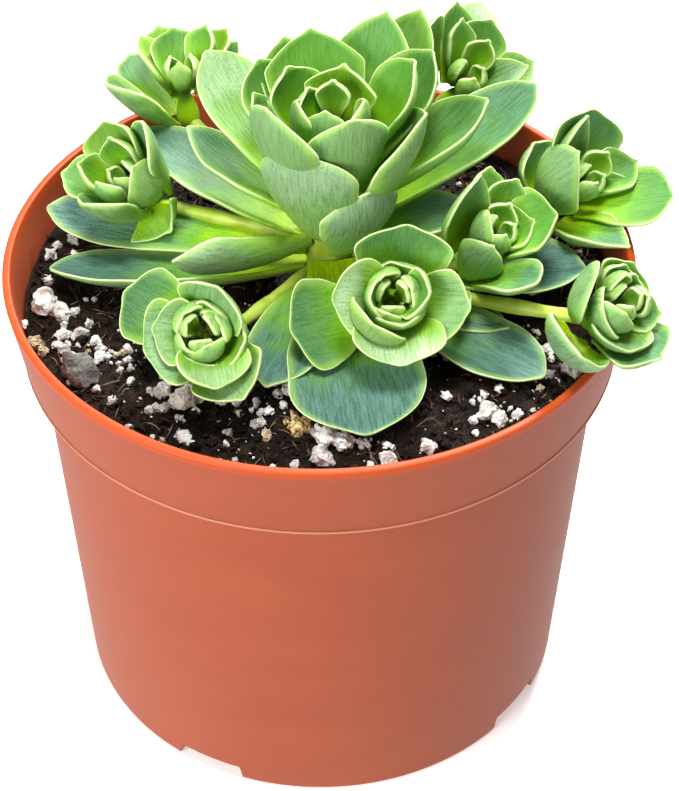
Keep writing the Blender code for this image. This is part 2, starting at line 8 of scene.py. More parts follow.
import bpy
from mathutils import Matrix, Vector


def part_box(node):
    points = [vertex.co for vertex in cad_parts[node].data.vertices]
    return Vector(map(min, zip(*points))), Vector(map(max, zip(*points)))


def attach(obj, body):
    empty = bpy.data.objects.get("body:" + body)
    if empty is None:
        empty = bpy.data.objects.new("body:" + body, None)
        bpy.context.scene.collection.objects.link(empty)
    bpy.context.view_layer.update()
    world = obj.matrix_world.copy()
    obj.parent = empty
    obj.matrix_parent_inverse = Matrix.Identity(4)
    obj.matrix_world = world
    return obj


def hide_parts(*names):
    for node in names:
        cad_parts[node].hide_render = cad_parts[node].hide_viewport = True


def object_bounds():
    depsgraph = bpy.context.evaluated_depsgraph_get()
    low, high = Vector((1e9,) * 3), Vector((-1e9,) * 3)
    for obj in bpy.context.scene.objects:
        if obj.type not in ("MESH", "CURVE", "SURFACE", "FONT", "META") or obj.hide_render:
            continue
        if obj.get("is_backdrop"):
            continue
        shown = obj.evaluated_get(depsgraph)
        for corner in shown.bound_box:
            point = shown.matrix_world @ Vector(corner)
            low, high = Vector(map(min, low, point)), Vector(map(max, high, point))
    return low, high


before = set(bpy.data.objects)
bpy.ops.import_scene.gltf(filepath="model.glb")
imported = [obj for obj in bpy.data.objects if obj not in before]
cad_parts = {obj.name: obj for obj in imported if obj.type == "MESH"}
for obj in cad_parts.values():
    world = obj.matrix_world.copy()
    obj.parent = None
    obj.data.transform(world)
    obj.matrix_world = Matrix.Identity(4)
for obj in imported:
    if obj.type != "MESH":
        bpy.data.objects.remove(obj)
plain_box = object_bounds()
print("nodes:", len(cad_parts), "size in mm:", [round(s * 1000, 1) for s in plain_box[1] - plain_box[0]])

# %% [markdown]
# Lengths are thought of in millimetres here, because a leaf's margin or a grain of soil is a fraction of
# one. They become metres only as a mesh is finished. Chance scatters the grains and fibres and gives each
# leaf its tone. It always comes from a generator with a fixed seed, so the plant comes out the same each
# time.

# %% Units and the tools that every step uses
import math
import random
from collections import namedtuple

import bmesh
import bpy
from mathutils import Matrix, Vector, noise

MM = 0.001
UP = Vector((0, 0, 1))
pot_low, pot_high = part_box("pot")
soil_low, soil_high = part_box("soil")
RIM = pot_high.z / MM
RIM_RADIUS = (pot_high.x - pot_low.x) / 2 / MM
print(f"rim at {RIM:.1f} mm, {2 * RIM_RADIUS:.1f} mm across")


def finish_piece(name, form, material, *nodes, slot, smooth=50):
    """Turns a form in millimetres into a piece that rides on the plant and stands for the nodes named."""
    bmesh.ops.scale(form, verts=form.verts, vec=(MM, MM, MM))
    mesh = bpy.data.meshes.new(name)
    form.to_mesh(mesh)
    form.free()
    mesh.materials.append(material)
    mesh.shade_smooth()
    if smooth < 180:
        mesh.set_sharp_from_angle(angle=math.radians(smooth))
    piece = bpy.data.objects.new(name, mesh)
    bpy.context.scene.collection.objects.link(piece)
    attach(piece, "root")
    if nodes:
        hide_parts(*nodes)
    return piece


# %% [markdown]
# ## Camera and light
# The plant is looked down on from the front, with a long lens that keeps the pot's sides nearly straight.
# The light is that of a bright white tent: soft from all round, with a strong window behind that lights
# up the leaves' margins, a weaker one in front at the left, and one more overhead.

# %% Camera and lamps
LENS = 104.5
SIGHT_DROP = math.radians(42.2)
SIGHT_DISTANCE = 0.3982
sight_point = Vector((0.0033, 0, RIM * MM - 0.0314))
camera_data = bpy.data.cameras.new("camera")
camera_data.lens = LENS
camera = bpy.data.objects.new("camera", camera_data)
bpy.context.scene.collection.objects.link(camera)
camera.location = sight_point + Vector((0, -math.cos(SIGHT_DROP), math.sin(SIGHT_DROP))) * SIGHT_DISTANCE
camera.rotation_euler = (math.pi / 2 - SIGHT_DROP, 0, 0)
bpy.context.scene.camera = camera


def add_lamp(name, place, size, power):
    """A round lamp at a place in metres, turned towards the plant."""
    data = bpy.data.lights.new(name, "AREA")
    data.shape = "DISK"
    data.size = size
    data.energy = power
    made = bpy.data.objects.new(name, data)
    bpy.context.scene.collection.objects.link(made)
    made.location = place
    made.rotation_euler = (sight_point - Vector(place)).to_track_quat("-Z", "Y").to_euler()


add_lamp("window_behind", (0.20, 0.55, 0.60), size=0.20, power=10.0)
add_lamp("window_front_left", (-0.55, -0.60, 0.35), size=0.50, power=8.0)
add_lamp("overhead", (0.0, -0.05, 0.80), size=0.25, power=6.0)
bpy.context.scene.view_settings.view_transform = "Standard"

# %% [markdown]
# ## Writing materials as sums
# A material is a small drawing of nodes. Written as sums it is easier to read: a wire is one output of a
# node, and adding or multiplying wires puts in the Math nodes that do it.

# %% The wire
class Wire:
    """An output of a node in a material. Sums of wires add the nodes that work them out."""

    def __init__(self, tree, socket=None):
        self.tree = tree
        self.socket = socket

    def node(self, kind, settings=None, inputs=None, output=0):
        """Adds any node: its settings first, then the values or wires of its sockets."""
        made = self.tree.nodes.new("ShaderNode" + kind)
        for key, value in (settings or {}).items():
            setattr(made, key, value)
        for key, value in (inputs or {}).items():
            if isinstance(value, Wire):
                self.tree.links.new(value.socket, made.inputs[key])
            else:
                made.inputs[key].default_value = value
        return Wire(self.tree, made.outputs[output])

    def math(self, operation, *values):
        return self.node("Math", {"operation": operation}, dict(enumerate(values)))

    def __add__(self, other):
        return self.math("ADD", self, other)

    def __radd__(self, other):
        return self.math("ADD", other, self)

    def __sub__(self, other):
        return self.math("SUBTRACT", self, other)

    def __rsub__(self, other):
        return self.math("SUBTRACT", other, self)

    def __mul__(self, other):
        return self.math("MULTIPLY", self, other)

    def __rmul__(self, other):
        return self.math("MULTIPLY", other, self)

    def __pow__(self, other):
        return self.math("POWER", self, other)

    def step(self, low, high):
        """0 below low, 1 above high, and smooth between. It falls instead where low is above high."""
        return self.node("MapRange", {"interpolation_type": "SMOOTHSTEP"},
                         {"Value": self, "From Min": low, "From Max": high})

    def tint(self, first, second):
        """A colour that goes from the first to the second as this wire goes from 0 to 1."""
        return self.node("Mix", {"data_type": "RGBA"}, {0: self, 6: first, 7: second}, output=2)

    def noise(self, where, scale, detail=2.0, roughness=0.5):
        inputs = {"Vector": where, "Scale": scale, "Detail": detail, "Roughness": roughness}
        return self.node("TexNoise", {}, inputs)

    def attribute(self, name):
        return self.node("Attribute", {"attribute_name": name}, output="Fac")

    def stretched(self, scale):
        """Coordinates in metres, pulled along each axis by the scale."""
        where = self.node("TexCoord", output="Object")
        return self.node("Mapping", {}, {"Vector": where, "Scale": scale})


def colour(*parts):
    """Red, green and blue as a screen shows them, from 0 to 255, turned into light."""
    return (*(((part / 255 + 0.055) / 1.055) ** 2.4 if part > 10 else part / 3295 for part in parts), 1)


def new_material(name, constants):
    """A material, a wire to build on, and a dictionary of its shader's sockets."""
    made = bpy.data.materials.new(name)
    made.use_nodes = True
    sockets = made.node_tree.nodes["Principled BSDF"].inputs
    for key, value in constants.items():
        sockets[key].default_value = value
    return made, Wire(made.node_tree), sockets


def join(wire, socket):
    wire.tree.links.new(wire.socket, socket)


def bump(wire, distance, strength=1.0):
    """A normal that a height in metres has pushed in and out."""
    return wire.node("Bump", {}, {"Strength": strength, "Distance": distance, "Height": wire})


# %% [markdown]
# The floor is pale and lit so strongly that it turns white. The light it sends back would vary with the
# pot's shadow on it, so it is hidden from bounced light and from reflections. The tent stands in for it:
# bright below the horizon, which lights the walls, and dimmer above, which leaves the folds between the
# leaves dark.

# %% Tent and floor
TENT_BELOW = 1.3
TENT_ABOVE = 0.42
HORIZON = 0.15
world = bpy.data.worlds.new("tent")
world.use_nodes = True
sky = Wire(world.node_tree)
upward = sky.node("SeparateXYZ", {}, {0: sky.node("TexCoord", output="Generated")}, output=2)
glow = world.node_tree.nodes["Background"].inputs
join(TENT_BELOW - upward.step(-HORIZON, HORIZON) * (TENT_BELOW - TENT_ABOVE), glow["Strength"])
glow["Color"].default_value = (1, 1, 1, 1)
bpy.context.scene.world = world
floor_finish, paint, sockets = new_material("pale_floor", {
    "Base Color": (0.86, 0.86, 0.86, 1), "Emission Color": (1, 1, 1, 1), "Emission Strength": 0.35})
join(paint.noise(paint.stretched((1, 1, 1)), 3.0) * 0.02 + 0.69, sockets["Roughness"])
floor_form = bmesh.new()
bmesh.ops.create_grid(floor_form, x_segments=2, y_segments=2, size=3)
floor_mesh = bpy.data.meshes.new("floor")
floor_form.to_mesh(floor_mesh)
floor_form.free()
floor_mesh.materials.append(floor_finish)
floor = bpy.data.objects.new("floor", floor_mesh)
bpy.context.scene.collection.objects.link(floor)
floor.visible_diffuse = False
floor.visible_glossy = False
floor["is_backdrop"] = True

# %% [markdown]
# ## The pot
# The pot is moulded plastic, so it is one thin wall: a deep collar that flares to the rim, a shoulder
# under the collar, and a body that narrows to a foot ring. A turned shape is a profile spun about its
# axis. Extruding rings one by one would do as well, but in a profile every small radius can be read in
# one list.

# %% Spin a profile
def spun(profile, steps):
    """A form turned about the upright axis from (radius, height) pairs in millimetres."""
    form = bmesh.new()
    points = [form.verts.new((radius, 0, height)) for radius, height in profile]
    edges = [form.edges.new(pair) for pair in zip(points, points[1:])]
    bmesh.ops.spin(form, geom=points + edges, cent=(0, 0, 0), axis=UP, angle=math.tau, steps=steps,
                   use_merge=True, use_duplicate=False)
    bmesh.ops.remove_doubles(form, verts=form.verts, dist=0.001)
    bmesh.ops.recalc_face_normals(form, faces=form.faces)
    return form


def rounded(corners, rings=4):
    """The profile with an arc at each corner that gives a radius as its third number.
    A ring close to each end of an arc keeps the shading of the long faces flat."""
    points = []
    for index, corner in enumerate(corners):
        here = Vector(corner[:2])
        if len(corner) < 3:
            points.append(here)
            continue
        radius = corner[2]
        back = (Vector(corners[index - 1][:2]) - here).normalized()
        ahead = (Vector(corners[index + 1][:2]) - here).normalized()
        half = back.angle(ahead) / 2
        reach = radius / math.tan(half)
        centre = here + (back + ahead).normalized() * (radius / math.sin(half))
        start = (here + back * reach - centre).normalized()
        end = (here + ahead * reach - centre).normalized()
        points.append(here + back * (reach + 0.2))
        points += [centre + start.slerp(end, ring / rings) * radius for ring in range(rings + 1)]
        points.append(here + ahead * (reach + 0.2))
    return points


# %% [markdown]
# The profile starts on the axis inside, runs out over the floor and up the wall to the rim, and comes
# back down the outside. The floor stands clear of the ground on its foot ring, with a pad in the middle
# where the plastic flowed into the mould. The collar ends in a small bead. Each corner gives its radius
# as a third number.

# %% The pot's wall
COLLAR_FOOT = RIM - 15.0
COLLAR_RADIUS = 49.6
SHOULDER_RADIUS = 47.1
FOOT_RADIUS = 43.0
FOOT_RING = 3.5
LIP = 1.4
WALL = 1.5
FLOOR_UNDERSIDE = 3.5
FLOOR_TOP = FLOOR_UNDERSIDE + WALL
PAD_RADIUS = 20.0
ROUND_STEPS = 180
pot_profile = rounded([
    (0, WALL),
    (PAD_RADIUS - 1.0, WALL, 1.0),
    (PAD_RADIUS + 1.5, FLOOR_TOP, 1.0),
    (FOOT_RADIUS - WALL - 1.3, FLOOR_TOP, 1.0),
    (FOOT_RADIUS - WALL + 0.2, FLOOR_TOP + 1.5, 0.8),
    (SHOULDER_RADIUS - WALL, COLLAR_FOOT - 1.5, 1.0),
    (COLLAR_RADIUS - LIP, COLLAR_FOOT + 1.2, 1.0),
    (RIM_RADIUS - LIP, RIM, 0.35),
    (RIM_RADIUS, RIM, 0.5),
    (RIM_RADIUS - 0.25, RIM - 1.4, 0.3),
    (COLLAR_RADIUS + 0.02, COLLAR_FOOT + 0.75, 0.25),
    (COLLAR_RADIUS + 0.2, COLLAR_FOOT + 0.45, 0.12),
    (COLLAR_RADIUS + 0.1, COLLAR_FOOT, 0.12),
    (SHOULDER_RADIUS, COLLAR_FOOT - 0.1, 0.5),
    (FOOT_RADIUS, 0, 0.9),
    (FOOT_RADIUS - FOOT_RING, 0, 0.4),
    (FOOT_RADIUS - FOOT_RING - 0.3, FLOOR_UNDERSIDE, 0.4),
    (PAD_RADIUS + 2.0, FLOOR_UNDERSIDE, 0.6),
    (PAD_RADIUS, 0, 0.5),
    (0, 0),
])
pot_form = spun(pot_profile, ROUND_STEPS)
print("pot faces:", len(pot_form.faces))

# %% [markdown]
# Water leaves through four holes in the floor, and four shallow notches let it out from under the foot.
# Both are cuts, as they are steel pins and tabs in the mould.

# %% Drain holes and notches
def cut(form, cutters):
    """The form with each cutter taken from it."""
    items = []
    for index, solid in enumerate([form, *cutters]):
        mesh = bpy.data.meshes.new(f"blank_{index}")
        solid.to_mesh(mesh)
        solid.free()
        items.append(bpy.data.objects.new(mesh.name, mesh))
        bpy.context.scene.collection.objects.link(items[-1])
    for item in items[1:]:
        modifier = items[0].modifiers.new(item.name, "BOOLEAN")
        modifier.object = item
        modifier.operation = "DIFFERENCE"
        modifier.solver = "EXACT"
    bpy.context.view_layer.update()
    graph = bpy.context.evaluated_depsgraph_get()
    result = bmesh.new()
    result.from_mesh(items[0].evaluated_get(graph).to_mesh())
    for item in items:
        blank = item.data
        bpy.data.objects.remove(item)
        bpy.data.meshes.remove(blank)
    return result


NOTCH_TURNS = (63, 144.5, 243, 324.5)
NOTCH_DEPTH, NOTCH_WIDTH, NOTCH_HEIGHT = 12, 14.2, 3.3
NOTCH_NARROWING = 0.82
HOLE_TURNS = (18, 108, 198, 288)
HOLE_PLACE = Vector((31, 0, 4))
HOLE_RADIUS = 4.0
cutters = []
for turn in NOTCH_TURNS:
    heading = Matrix.Rotation(math.radians(turn), 3, "Z")
    notch = bmesh.new()
    block = Matrix.Diagonal((NOTCH_DEPTH, NOTCH_WIDTH, 2 * NOTCH_HEIGHT, 1))
    tab = bmesh.ops.create_cube(notch, size=1, matrix=block)
    for vert in tab["verts"]:
        if vert.co.z > 0:
            vert.co.y *= NOTCH_NARROWING
    bmesh.ops.translate(notch, verts=notch.verts, vec=(FOOT_RADIUS, 0, 0))
    bmesh.ops.rotate(notch, verts=notch.verts, cent=(0, 0, 0), matrix=heading)
    cutters.append(notch)
for turn in HOLE_TURNS:
    heading = Matrix.Rotation(math.radians(turn), 3, "Z")
    hole = bmesh.new()
    bmesh.ops.create_cone(hole, cap_ends=True, segments=40, radius1=HOLE_RADIUS, radius2=HOLE_RADIUS, depth=8)
    bmesh.ops.translate(hole, verts=hole.verts, vec=heading @ HOLE_PLACE)
    cutters.append(hole)
pot_form = cut(pot_form, cutters)
print("pot faces after the cuts:", len(pot_form.faces))

# %% [markdown]
# The plastic is dyed right through, a dull brick orange with a satin skin. The lip is painted a stronger,
# brighter orange: painted light, as its flat top faces the lamps. The bead at the foot of the collar is
# painted pale as a thin painted highlight. Both are bands of height, so the wire that carries them is the
# height itself. Flow marks from the mould show as slow clouds and very faint rings.

# %% Terracotta plastic
clay_finish, paint, sockets = new_material("terracotta_plastic", {"Specular IOR Level": 0.3})
height = paint.node("SeparateXYZ", {}, {0: paint.stretched((1000, 1000, 1000))}, output=2)
clouds = paint.noise(paint.stretched((1, 1, 2.5)), 45, 4)
rings = paint.noise(paint.stretched((4, 4, 500)), 1.0, 2)
grain = paint.noise(paint.stretched((1, 1, 1)), 1600, 2)
shade = clouds * 0.7 + rings * 0.1 + grain * 0.2
wall = shade.step(0.3, 0.7).tint(colour(152, 67, 36), colour(158, 74, 42))
# Painted light: the lip band is a brighter, stronger orange where its flat top faces the lamps.
painted_lip_light = height.step(RIM - 1.9, RIM - 1.2)
above_foot = height - COLLAR_FOOT
# Painted highlight: a thin pale line on the bead at the foot of the collar.
bead_highlight = above_foot.step(-0.1, 0.1) * above_foot.step(0.75, 0.45)
with_bead_highlight = (bead_highlight * 0.7).tint(wall, colour(214, 140, 112))
join(painted_lip_light.tint(with_bead_highlight, colour(180, 68, 16)), sockets["Base Color"])
join(shade * 0.20 + 0.40, sockets["Roughness"])
join(bump(grain * 0.8 + rings * 0.2, 0.00005, 0.5), sockets["Normal"])
pot = finish_piece("pot_wall", pot_form, clay_finish, "pot", slot="pot", smooth=35)
print("pot wall:", len(pot.data.polygons), "faces")

# %% [markdown]
# ## The soil
# The pot is full of dark peat to a few millimetres under the rim. The body of it is one turned solid
# whose top is pushed up and down by cloudy noise. What the eye takes for soil is the loose stuff on top,
# so crumbs, white grains and root fibres are strewn over it afterwards.

# %% The bed of peat
SOIL_TOP = RIM - 6.0
SOIL_EDGE = soil_high.x / MM
SOIL_GAP = 0.3
SOIL_RINGS = 62
SOIL_STEPS = 220


def soil_height(x, y):
    """Height of the bed's top at a place, in millimetres."""
    rim_share = min(math.hypot(x, y) / SOIL_EDGE, 1)
    spot = Vector((x, y, 3.7))
    broad = noise.noise(spot * 0.09) * 0.9
    lumps = noise.noise(spot * 0.45) * 0.55 + noise.noise(spot * 1.3) * 0.3
    return SOIL_TOP - 0.3 + broad + lumps * (1 - rim_share ** 8) - 1.6 * rim_share ** 12


top_rings = [(SOIL_EDGE - 0.2) * (index / SOIL_RINGS) ** 0.9 for index in range(SOIL_RINGS + 1)]
soil_profile = [(radius, SOIL_TOP) for radius in top_rings]
soil_profile += [
    (47.5, COLLAR_FOOT + 1.5),
    (45.1, COLLAR_FOOT - 1.5),
    (41.3, FLOOR_TOP + 3.0),
    (39.5, FLOOR_TOP + SOIL_GAP),
    (PAD_RADIUS + 1.0, FLOOR_TOP + SOIL_GAP),
    (PAD_RADIUS - 1.5, WALL + SOIL_GAP),
    (0, WALL + SOIL_GAP),
]
soil_form = spun(soil_profile, SOIL_STEPS)
for vert in soil_form.verts:
    if vert.co.z > SOIL_TOP - 0.01:
        vert.co.z = soil_height(vert.co.x, vert.co.y)
print("soil faces:", len(soil_form.faces))

# %% [markdown]
# Peat is nearly black with a red-brown cast. Coarse and fine noise laid over each other keep any one
# crumb from looking painted, and a strong bump breaks up the little light that it gives back.

# %% Peat
peat_finish, paint, sockets = new_material("peat", {"Specular IOR Level": 0.2})
clouds = paint.noise(paint.stretched((1, 1, 1)), 420, 4)
fine = paint.noise(paint.stretched((1, 1, 1)), 2600, 3)
shade = clouds * 0.5 + fine * 0.5
join(shade.step(0.42, 0.72).tint(colour(11, 7, 5), colour(64, 42, 28)), sockets["Base Color"])
join(clouds * 0.5 + 0.6, sockets["Roughness"])
join(bump(fine + clouds, 0.0006, 1.0), sockets["Normal"])
peat = finish_piece("peat_bed", soil_form, peat_finish, "soil", slot="soil", smooth=60)


# %% [markdown]
# A crumb is a small ball pushed about by noise until no two sides match. Peat breaks with corners, so its
# crumbs keep their twenty flat faces, and the grains that can be told apart get a few hundred. Each
# corner keeps two numbers for the colours: how tan the grain is and how dull. An operator slows down as
# its form fills up, so the crumbs are made a tray at a time and the trays are tipped together at the end.

# %% Crumbs and grains
def add_lump(form, place, size, rough, rounds, seed, tan=0.0, dull=0.0):
    """A rough grain in millimetres round a place, a little flat, with more faces for more rounds."""
    chance = random.Random(seed)
    marks = [(form.verts.layers.float[name], value) for name, value in (("tan", tan), ("dull", dull))]
    made = bmesh.ops.create_icosphere(form, subdivisions=rounds, radius=1)
    turn = Matrix.Rotation(chance.uniform(0, math.tau), 3, Vector((chance.random(), chance.random(), 1)))
    stretch = Vector((chance.uniform(0.7, 1.3), chance.uniform(0.7, 1.1), 0.8 * chance.uniform(0.8, 1.1)))
    for vert in made["verts"]:
        spot = vert.co * 1.3 + Vector((seed * 7.1, seed * 3.3, 0))
        swell = 1 + rough * (noise.noise(spot) + 0.5 * noise.noise(spot * 2.7))
        vert.co = turn @ (vert.co * swell * stretch) * (size / 2) + Vector(place)
        for mark, value in marks:
            vert[mark] = value


def grit_form():
    """An empty form whose corners can be told tan or dull."""
    form = bmesh.new()
    for name in ("tan", "dull"):
        form.verts.layers.float.new(name)
    return form


def bed_spot(chance, margin=1.0):
    """A chance place on the bed. All of its area is as likely."""
    radius = (SOIL_EDGE - margin) * math.sqrt(chance.random())
    turn = chance.uniform(0, math.tau)
    return radius * math.cos(turn), radius * math.sin(turn)


def tray(trays, index, blank):
    """The tray for a numbered item. Every so many items a blank one is begun."""
    if index % BATCH == 0:
        trays.append(blank())
    return trays[-1]


def gather(forms):
    """One form that holds all the given ones."""
    whole = bmesh.new()
    for form in forms:
        mesh = bpy.data.meshes.new("part")
        form.to_mesh(mesh)
        form.free()
        whole.from_mesh(mesh)
        bpy.data.meshes.remove(mesh)
    return whole


BATCH = 80
CRUMBS = 4200
chance = random.Random(5)
trays = []
for index in range(CRUMBS):
    x, y = bed_spot(chance)
    size = 0.5 + 1.3 * chance.random() ** 2.5
    place = (x, y, soil_height(x, y) + size * 0.2)
    add_lump(tray(trays, index, grit_form), place, size, rough=1.1, rounds=1, seed=index)
crumb_piece = finish_piece("peat_crumbs", gather(trays), peat_finish, slot="soil", smooth=25)
print("crumbs:", len(crumb_piece.data.polygons), "faces")

# %% [markdown]
# Peat is moss that has rotted, and its tougher fibres stay whole. They lie on the top like hay, a few
# millimetres long and as thin as a hair. A ball drawn out along a bent line gives one with twenty-odd
# faces: its rings become the sections and its poles the ends. The stem and the runners are made with the
# same function further on.

# %% Fibres
def add_tube(form, points, radii, sides=12, seed=0, rough=0.0):
    """A closed tube through the points, in millimetres, with a radius at each."""
    made = bmesh.ops.create_uvsphere(form, u_segments=sides, v_segments=len(points) + 1, radius=1)
    for vert in made["verts"]:
        ring = math.hypot(vert.co.x, vert.co.y)
        turn = math.atan2(vert.co.y, vert.co.x)
        index = round(math.acos(max(-1, min(1, vert.co.z))) / math.pi * (len(points) + 1)) - 1
        if ring < 0.001:
            vert.co = points[0 if index < 0 else -1]
            continue
        heading = (points[min(index + 1, len(points) - 1)] - points[max(index - 1, 0)]).normalized()
        across = heading.cross(UP if abs(heading.z) < 0.9 else Vector((1, 0, 0))).normalized()
        arm = across * math.cos(turn) + heading.cross(across) * math.sin(turn)
        swell = 1 + rough * noise.noise(points[index] * 0.8 + arm + Vector((seed, 0, 0)))
        vert.co = points[index] + arm * radii[index] * swell


fibre_finish, paint, sockets = new_material("root_fibre", {"Specular IOR Level": 0.3})
mottle = paint.noise(paint.stretched((1, 1, 1)), 260, 3)
join(mottle.step(0.35, 0.65).tint(colour(58, 38, 24), colour(158, 126, 96)), sockets["Base Color"])
join(mottle * 0.3 + 0.55, sockets["Roughness"])
FIBRES = 900
trays = []
for index in range(FIBRES):
    x, y = bed_spot(chance, 2.0)
    turn = chance.uniform(0, math.tau)
    bend = chance.uniform(-0.6, 0.6)
    length = chance.uniform(0.8, 3.6)
    lift = chance.uniform(0.1, 0.7)
    thick = chance.uniform(0.04, 0.09)
    points = []
    for step in (-0.5, -0.17, 0.17, 0.5):
        heading = turn + bend * step
        spot = Vector((x + math.cos(heading) * length * step, y + math.sin(heading) * length * step, 0))
        spot.z = soil_height(spot.x, spot.y) + lift + 0.3 * (0.25 - step * step)
        points.append(spot)
    add_tube(tray(trays, index, bmesh.new), points, [thick, thick, thick, thick * 0.6], sides=4)
fibre_piece = finish_piece("root_fibres", gather(trays), fibre_finish, slot="soil", smooth=180)
print("fibres:", len(fibre_piece.data.polygons), "faces")

# %% [markdown]
# The pale grains are perlite, a rock glass that pops open like maize. The biggest have places of their
# own, and the rest are chance: they lie in drifts at the left and the front, and singly elsewhere. Each
# is matt, slightly creamy where peat has stained it, and pitted. A few other grains share the finish: tan
# crumbs of bark and grey grit.

# %% Perlite
perlite_finish, paint, sockets = new_material("perlite", {"Specular IOR Level": 0.3})
stain = paint.noise(paint.stretched((1, 1, 1)), 520, 4)
pits = paint.noise(paint.stretched((1, 1, 1)), 1900, 3)
white = stain.step(0.45, 0.75).tint(colour(232, 230, 226), colour(150, 134, 110))
bark = pits.step(0.35, 0.60).tint(colour(120, 92, 46), colour(226, 200, 144))
grey = stain.step(0.3, 0.7).tint(colour(46, 44, 42), colour(128, 126, 122))
grit = paint.attribute("dull").tint(paint.attribute("tan").tint(white, bark), grey)
join(grit, sockets["Base Color"])
join(pits * 0.2 + 0.7, sockets["Roughness"])
join(bump(pits, 0.0005, 1.0), sockets["Normal"])

# Place from the pot's axis and size, in mm, and how tan and how dull the grain is
BIG_GRAINS = [
    (-45.0, -5.5, 4.6, 0, 0), (-42.5, -7.5, 3.3, 0, 0), (-48.2, -9.0, 1.6, 0, 0),
    (-41.5, -13.0, 2.3, 0, 0.1), (-37.5, -10.0, 2.0, 0, 0), (-36.0, -15.0, 2.3, 0, 0),
    (-35.2, -16.2, 1.5, 0, 0), (-40.5, -14.8, 1.2, 0, 0), (-24.5, -27.5, 3.4, 0, 0),
    (-20.8, -29.3, 4.4, 0.25, 0), (-32.3, -29.5, 2.0, 0, 0.4), (-29.7, -24.6, 1.3, 0, 0),
    (-39.8, -19.0, 2.6, 0, 0.1), (-38.2, -23.0, 6.2, 0, 0.9), (-7.8, -31.8, 1.7, 0, 0),
    (-4.4, -27.2, 2.6, 0, 0), (-6.4, -28.0, 1.8, 0, 0), (-21.0, -37.5, 2.4, 0, 0.2),
    (-19.4, -38.3, 1.4, 0, 0.1), (-2.8, -35.7, 4.3, 1, 0), (-8.0, -36.8, 1.9, 0.8, 0.2),
    (1.2, -37.7, 4.4, 0, 0), (0.6, -42.2, 4.0, 0, 0.3), (3.9, -39.0, 3.4, 0, 0),
    (10.7, -42.0, 2.6, 0, 0.2), (16.8, -39.8, 2.8, 0, 0.1), (26.2, -32.0, 3.6, 0, 0.2),
    (28.2, -32.8, 2.6, 0, 0), (30.9, -32.3, 2.0, 0, 0), (32.6, -17.0, 2.4, 0, 0),
    (36.9, -17.0, 2.6, 0, 0), (40.6, -20.5, 3.2, 0, 0.5), (-46.0, -14.0, 2.8, 0.9, 0.3),
    (-44.5, -16.0, 2.0, 0.9, 0.4), (34.9, -26.0, 1.8, 0.8, 0.3), (-42.0, 11.8, 2.0, 0, 0),
    (-45.4, 8.3, 2.6, 0, 0), (-45.2, 0.8, 2.2, 0, 0),
]
# Drifts of small grains: the middle, the spread and the number
DRIFTS = [
    (-30.5, -18.0, 3.2, 30), (-41.0, -15.5, 3.0, 22), (-36.0, -20.0, 5.0, 26), (-26.0, -30.0, 6.0, 20),
    (-12.0, -34.0, 8.0, 30), (8.0, -40.0, 5.0, 20), (26.0, -31.0, 5.0, 20), (34.0, -18.0, 4.5, 18),
    (24.0, 38.0, 6.0, 20), (40.0, 24.0, 5.0, 16), (-36.0, 24.0, 6.0, 20), (0.0, 42.0, 7.0, 20),
]
LOOSE_GRAINS = 420
BARK_EVERY = 11
trays = [grit_form()]
for index, (x, y, size, tan, dull) in enumerate(BIG_GRAINS):
    place = (x, y, soil_height(x, y) + size * 0.22)
    add_lump(trays[0], place, size, rough=0.6, rounds=3, seed=40 + index, tan=tan, dull=dull)
small = [(chance.gauss(x, spread / 2), chance.gauss(y, spread / 2)) for x, y, spread, count in DRIFTS
         for turn in range(count)]
small += [bed_spot(chance, 2.0) for turn in range(LOOSE_GRAINS)]
for index, (x, y) in enumerate(small):
    form = tray(trays, index, grit_form)
    if math.hypot(x, y) > SOIL_EDGE - 1.0:
        continue
    size = 0.3 + 1.7 * chance.random() ** 2.6
    place = (x, y, soil_height(x, y) + 0.2 + size * 0.2)
    rounds = 2 if size > 0.9 else 1
    tan = 1.0 if index % BARK_EVERY == 0 else 0.0
    dull = 0.35 * chance.random()
    add_lump(form, place, size, rough=0.7, rounds=rounds, seed=200 + index, tan=tan, dull=dull)
grain_piece = finish_piece("perlite_grains", gather(trays), perlite_finish, slot="soil", smooth=40)
print("perlite:", len(grain_piece.data.polygons), "faces")

# %% [markdown]
# ## How the plant is laid out
# Every leaf is written as one row: which way it turns, how far it rises, how long and wide it is, how
# deeply it is cupped, and at what height it leaves the stem. The rows are the plain model's own, so the
# two agree.

# %% The leaves in rows
# The columns: turn about the rosette's axis and rise above its plane in degrees; length and width in
# mm; cup of the blade in degrees; inward curl of the midrib in mm; height of the root on the axis in
# mm; point of the tip from 0 blunt to 1 sharp; roll about the leaf's own length in degrees; widest as a
# share of the length.
LEAF_COLUMNS = "turn rise length width cup curl height point roll widest"
Leaf = namedtuple("Leaf", LEAF_COLUMNS, defaults=(0.1, 0, 0.76))

